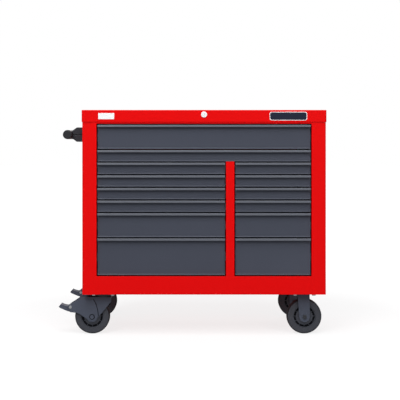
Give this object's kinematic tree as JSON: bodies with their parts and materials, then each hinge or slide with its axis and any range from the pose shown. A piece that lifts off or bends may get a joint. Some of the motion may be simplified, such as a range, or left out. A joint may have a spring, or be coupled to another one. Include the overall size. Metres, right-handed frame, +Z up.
{
  "type": "rolling tool chest",
  "caption": "Steel roller tool cabinet with full-width drawers over two banks of drawers, a side push handle, a front lock, swivel brake casters at one end and rigid casters at the other.",
  "frame": {"origin": "on the floor, in the middle of the whole chest's box, handle and brake pedals included", "axes": "+X to the right seen from the front, +Y from the drawer fronts to the back, +Z up"},
  "size_m": [1.265, 0.65, 1.062],
  "materials": {
    "red_paint": "gloss powder coat",
    "charcoal_paint": "satin fine-textured powder coat",
    "zinc_steel": "zinc plated",
    "lock_chrome": "polished",
    "plate_metal": "printed plate, left blank",
    "wheel_rubber": "matt dark grey rubber on a moulded core"
  },
  "bodies": {
    "cabinet": {"side_panel_left": "red_paint", "side_panel_right": "red_paint", "back_panel": "red_paint", "base_pan": "red_paint", "top_cap": "red_paint", "header_rail": "red_paint", "centre_divider": "red_paint", "divider_shelf": "charcoal_paint", "inner_wall_left": "charcoal_paint", "inner_wall_right": "charcoal_paint", "cabinet_slide_members": "zinc_steel", "push_handle": "charcoal_paint", "push_handle_brackets": "charcoal_paint", "lock_housing": "lock_chrome", "front_plates": "plate_metal", "swivel_plates": "zinc_steel", "rigid_forks": "charcoal_paint", "axle_bolts_right": "zinc_steel", "caster_bolts": "zinc_steel", "caster_channels": "charcoal_paint"},
    "drawer_top_1": {"drawer_top_1": "charcoal_paint"},
    "mid_slides_top_1": {"mid_slides_top_1": "zinc_steel"},
    "drawer_top_2": {"drawer_top_2": "charcoal_paint"},
    "mid_slides_top_2": {"mid_slides_top_2": "zinc_steel"},
    "drawer_left_1": {"drawer_left_1": "charcoal_paint"},
    "mid_slides_left_1": {"mid_slides_left_1": "zinc_steel"},
    "drawer_right_1": {"drawer_right_1": "charcoal_paint"},
    "mid_slides_right_1": {"mid_slides_right_1": "zinc_steel"},
    "drawer_left_2": {"drawer_left_2": "charcoal_paint"},
    "mid_slides_left_2": {"mid_slides_left_2": "zinc_steel"},
    "drawer_right_2": {"drawer_right_2": "charcoal_paint"},
    "mid_slides_right_2": {"mid_slides_right_2": "zinc_steel"},
    "drawer_left_3": {"drawer_left_3": "charcoal_paint"},
    "mid_slides_left_3": {"mid_slides_left_3": "zinc_steel"},
    "drawer_right_3": {"drawer_right_3": "charcoal_paint"},
    "mid_slides_right_3": {"mid_slides_right_3": "zinc_steel"},
    "drawer_left_4": {"drawer_left_4": "charcoal_paint"},
    "mid_slides_left_4": {"mid_slides_left_4": "zinc_steel"},
    "drawer_right_4": {"drawer_right_4": "charcoal_paint"},
    "mid_slides_right_4": {"mid_slides_right_4": "zinc_steel"},
    "drawer_left_5": {"drawer_left_5": "charcoal_paint"},
    "mid_slides_left_5": {"mid_slides_left_5": "zinc_steel"},
    "drawer_right_5": {"drawer_right_5": "charcoal_paint"},
    "mid_slides_right_5": {"mid_slides_right_5": "zinc_steel"},
    "drawer_left_6": {"drawer_left_6": "charcoal_paint"},
    "mid_slides_left_6": {"mid_slides_left_6": "zinc_steel"},
    "drawer_right_6": {"drawer_right_6": "charcoal_paint"},
    "mid_slides_right_6": {"mid_slides_right_6": "zinc_steel"},
    "lock_cylinder": {"lock_cylinder": "lock_chrome"},
    "lock_bar": {"lock_bar": "zinc_steel"},
    "swivel_caster_front": {"swivel_fork_front": "charcoal_paint", "fork_pins_front_left": "zinc_steel"},
    "brake_pedal_front": {"brake_pedal_front": "charcoal_paint"},
    "wheel_front_left": {"wheel_front_left": "wheel_rubber"},
    "wheel_front_right": {"wheel_front_right": "wheel_rubber"},
    "swivel_caster_rear": {"swivel_fork_rear": "charcoal_paint", "fork_pins_rear_left": "zinc_steel"},
    "brake_pedal_rear": {"brake_pedal_rear": "charcoal_paint"},
    "wheel_rear_left": {"wheel_rear_left": "wheel_rubber"},
    "wheel_rear_right": {"wheel_rear_right": "wheel_rubber"}
  },
  "joints": [
    {"name": "drawer_top_1_slide", "type": "slide", "parent": "cabinet", "child": "drawer_top_1", "axis": [0, -1, 0], "range_m": [0, 0.55]},
    {"name": "mid_slides_top_1_slide", "type": "slide", "parent": "cabinet", "child": "mid_slides_top_1", "axis": [0, -1, 0], "range_m": [0, 0.275]},
    {"name": "drawer_top_2_slide", "type": "slide", "parent": "cabinet", "child": "drawer_top_2", "axis": [0, -1, 0], "range_m": [0, 0.55]},
    {"name": "mid_slides_top_2_slide", "type": "slide", "parent": "cabinet", "child": "mid_slides_top_2", "axis": [0, -1, 0], "range_m": [0, 0.275]},
    {"name": "drawer_left_1_slide", "type": "slide", "parent": "cabinet", "child": "drawer_left_1", "axis": [0, -1, 0], "range_m": [0, 0.55]},
    {"name": "mid_slides_left_1_slide", "type": "slide", "parent": "cabinet", "child": "mid_slides_left_1", "axis": [0, -1, 0], "range_m": [0, 0.275]},
    {"name": "drawer_right_1_slide", "type": "slide", "parent": "cabinet", "child": "drawer_right_1", "axis": [0, -1, 0], "range_m": [0, 0.55]},
    {"name": "mid_slides_right_1_slide", "type": "slide", "parent": "cabinet", "child": "mid_slides_right_1", "axis": [0, -1, 0], "range_m": [0, 0.275]},
    {"name": "drawer_left_2_slide", "type": "slide", "parent": "cabinet", "child": "drawer_left_2", "axis": [0, -1, 0], "range_m": [0, 0.55]},
    {"name": "mid_slides_left_2_slide", "type": "slide", "parent": "cabinet", "child": "mid_slides_left_2", "axis": [0, -1, 0], "range_m": [0, 0.275]},
    {"name": "drawer_right_2_slide", "type": "slide", "parent": "cabinet", "child": "drawer_right_2", "axis": [0, -1, 0], "range_m": [0, 0.55]},
    {"name": "mid_slides_right_2_slide", "type": "slide", "parent": "cabinet", "child": "mid_slides_right_2", "axis": [0, -1, 0], "range_m": [0, 0.275]},
    {"name": "drawer_left_3_slide", "type": "slide", "parent": "cabinet", "child": "drawer_left_3", "axis": [0, -1, 0], "range_m": [0, 0.55]},
    {"name": "mid_slides_left_3_slide", "type": "slide", "parent": "cabinet", "child": "mid_slides_left_3", "axis": [0, -1, 0], "range_m": [0, 0.275]},
    {"name": "drawer_right_3_slide", "type": "slide", "parent": "cabinet", "child": "drawer_right_3", "axis": [0, -1, 0], "range_m": [0, 0.55]},
    {"name": "mid_slides_right_3_slide", "type": "slide", "parent": "cabinet", "child": "mid_slides_right_3", "axis": [0, -1, 0], "range_m": [0, 0.275]},
    {"name": "drawer_left_4_slide", "type": "slide", "parent": "cabinet", "child": "drawer_left_4", "axis": [0, -1, 0], "range_m": [0, 0.55]},
    {"name": "mid_slides_left_4_slide", "type": "slide", "parent": "cabinet", "child": "mid_slides_left_4", "axis": [0, -1, 0], "range_m": [0, 0.275]},
    {"name": "drawer_right_4_slide", "type": "slide", "parent": "cabinet", "child": "drawer_right_4", "axis": [0, -1, 0], "range_m": [0, 0.55]},
    {"name": "mid_slides_right_4_slide", "type": "slide", "parent": "cabinet", "child": "mid_slides_right_4", "axis": [0, -1, 0], "range_m": [0, 0.275]},
    {"name": "drawer_left_5_slide", "type": "slide", "parent": "cabinet", "child": "drawer_left_5", "axis": [0, -1, 0], "range_m": [0, 0.55]},
    {"name": "mid_slides_left_5_slide", "type": "slide", "parent": "cabinet", "child": "mid_slides_left_5", "axis": [0, -1, 0], "range_m": [0, 0.275]},
    {"name": "drawer_right_5_slide", "type": "slide", "parent": "cabinet", "child": "drawer_right_5", "axis": [0, -1, 0], "range_m": [0, 0.55]},
    {"name": "mid_slides_right_5_slide", "type": "slide", "parent": "cabinet", "child": "mid_slides_right_5", "axis": [0, -1, 0], "range_m": [0, 0.275]},
    {"name": "drawer_left_6_slide", "type": "slide", "parent": "cabinet", "child": "drawer_left_6", "axis": [0, -1, 0], "range_m": [0, 0.55]},
    {"name": "mid_slides_left_6_slide", "type": "slide", "parent": "cabinet", "child": "mid_slides_left_6", "axis": [0, -1, 0], "range_m": [0, 0.275]},
    {"name": "drawer_right_6_slide", "type": "slide", "parent": "cabinet", "child": "drawer_right_6", "axis": [0, -1, 0], "range_m": [0, 0.55]},
    {"name": "mid_slides_right_6_slide", "type": "slide", "parent": "cabinet", "child": "mid_slides_right_6", "axis": [0, -1, 0], "range_m": [0, 0.275]},
    {"name": "lock_turn", "type": "hinge", "parent": "cabinet", "child": "lock_cylinder", "pos_m": [0.058, -0.322, 1.04054], "axis": [0, 1, 0], "range_deg": [0, 90]},
    {"name": "lock_bar_drop", "type": "slide", "parent": "cabinet", "child": "lock_bar", "axis": [0, 0, -1], "range_m": [0, 0.01]},
    {"name": "caster_swivel_front", "type": "hinge", "parent": "cabinet", "child": "swivel_caster_front", "pos_m": [-0.4195, -0.229, 0.176], "axis": [0, 0, 1], "continuous": true},
    {"name": "wheel_spin_front_left", "type": "hinge", "parent": "swivel_caster_front", "child": "wheel_front_left", "pos_m": [-0.4725, -0.229, 0.0825], "axis": [0, 1, 0], "continuous": true},
    {"name": "wheel_spin_front_right", "type": "hinge", "parent": "cabinet", "child": "wheel_front_right", "pos_m": [0.5355, -0.229, 0.0825], "axis": [0, 1, 0], "continuous": true},
    {"name": "brake_press_front", "type": "hinge", "parent": "swivel_caster_front", "child": "brake_pedal_front", "pos_m": [-0.5755, -0.229, 0.1285], "axis": [0, -1, 0], "range_deg": [0, 18]},
    {"name": "caster_swivel_rear", "type": "hinge", "parent": "cabinet", "child": "swivel_caster_rear", "pos_m": [-0.4195, 0.232, 0.176], "axis": [0, 0, 1], "continuous": true},
    {"name": "wheel_spin_rear_left", "type": "hinge", "parent": "swivel_caster_rear", "child": "wheel_rear_left", "pos_m": [-0.4725, 0.232, 0.0825], "axis": [0, 1, 0], "continuous": true},
    {"name": "wheel_spin_rear_right", "type": "hinge", "parent": "cabinet", "child": "wheel_rear_right", "pos_m": [0.5355, 0.232, 0.0825], "axis": [0, 1, 0], "continuous": true},
    {"name": "brake_press_rear", "type": "hinge", "parent": "swivel_caster_rear", "child": "brake_pedal_rear", "pos_m": [-0.5755, 0.232, 0.1285], "axis": [0, -1, 0], "range_deg": [0, 18]}
  ],
  "couplings": [
    {"joint": "mid_slides_top_1_slide", "follows": "drawer_top_1_slide", "ratio": 0.5},
    {"joint": "mid_slides_top_2_slide", "follows": "drawer_top_2_slide", "ratio": 0.5},
    {"joint": "mid_slides_left_1_slide", "follows": "drawer_left_1_slide", "ratio": 0.5},
    {"joint": "mid_slides_right_1_slide", "follows": "drawer_right_1_slide", "ratio": 0.5},
    {"joint": "mid_slides_left_2_slide", "follows": "drawer_left_2_slide", "ratio": 0.5},
    {"joint": "mid_slides_right_2_slide", "follows": "drawer_right_2_slide", "ratio": 0.5},
    {"joint": "mid_slides_left_3_slide", "follows": "drawer_left_3_slide", "ratio": 0.5},
    {"joint": "mid_slides_right_3_slide", "follows": "drawer_right_3_slide", "ratio": 0.5},
    {"joint": "mid_slides_left_4_slide", "follows": "drawer_left_4_slide", "ratio": 0.5},
    {"joint": "mid_slides_right_4_slide", "follows": "drawer_right_4_slide", "ratio": 0.5},
    {"joint": "mid_slides_left_5_slide", "follows": "drawer_left_5_slide", "ratio": 0.5},
    {"joint": "mid_slides_right_5_slide", "follows": "drawer_right_5_slide", "ratio": 0.5},
    {"joint": "mid_slides_left_6_slide", "follows": "drawer_left_6_slide", "ratio": 0.5},
    {"joint": "mid_slides_right_6_slide", "follows": "drawer_right_6_slide", "ratio": 0.5},
    {"joint": "lock_turn", "follows": "lock_bar_drop", "rad_per_m": 157.07}
  ]
}
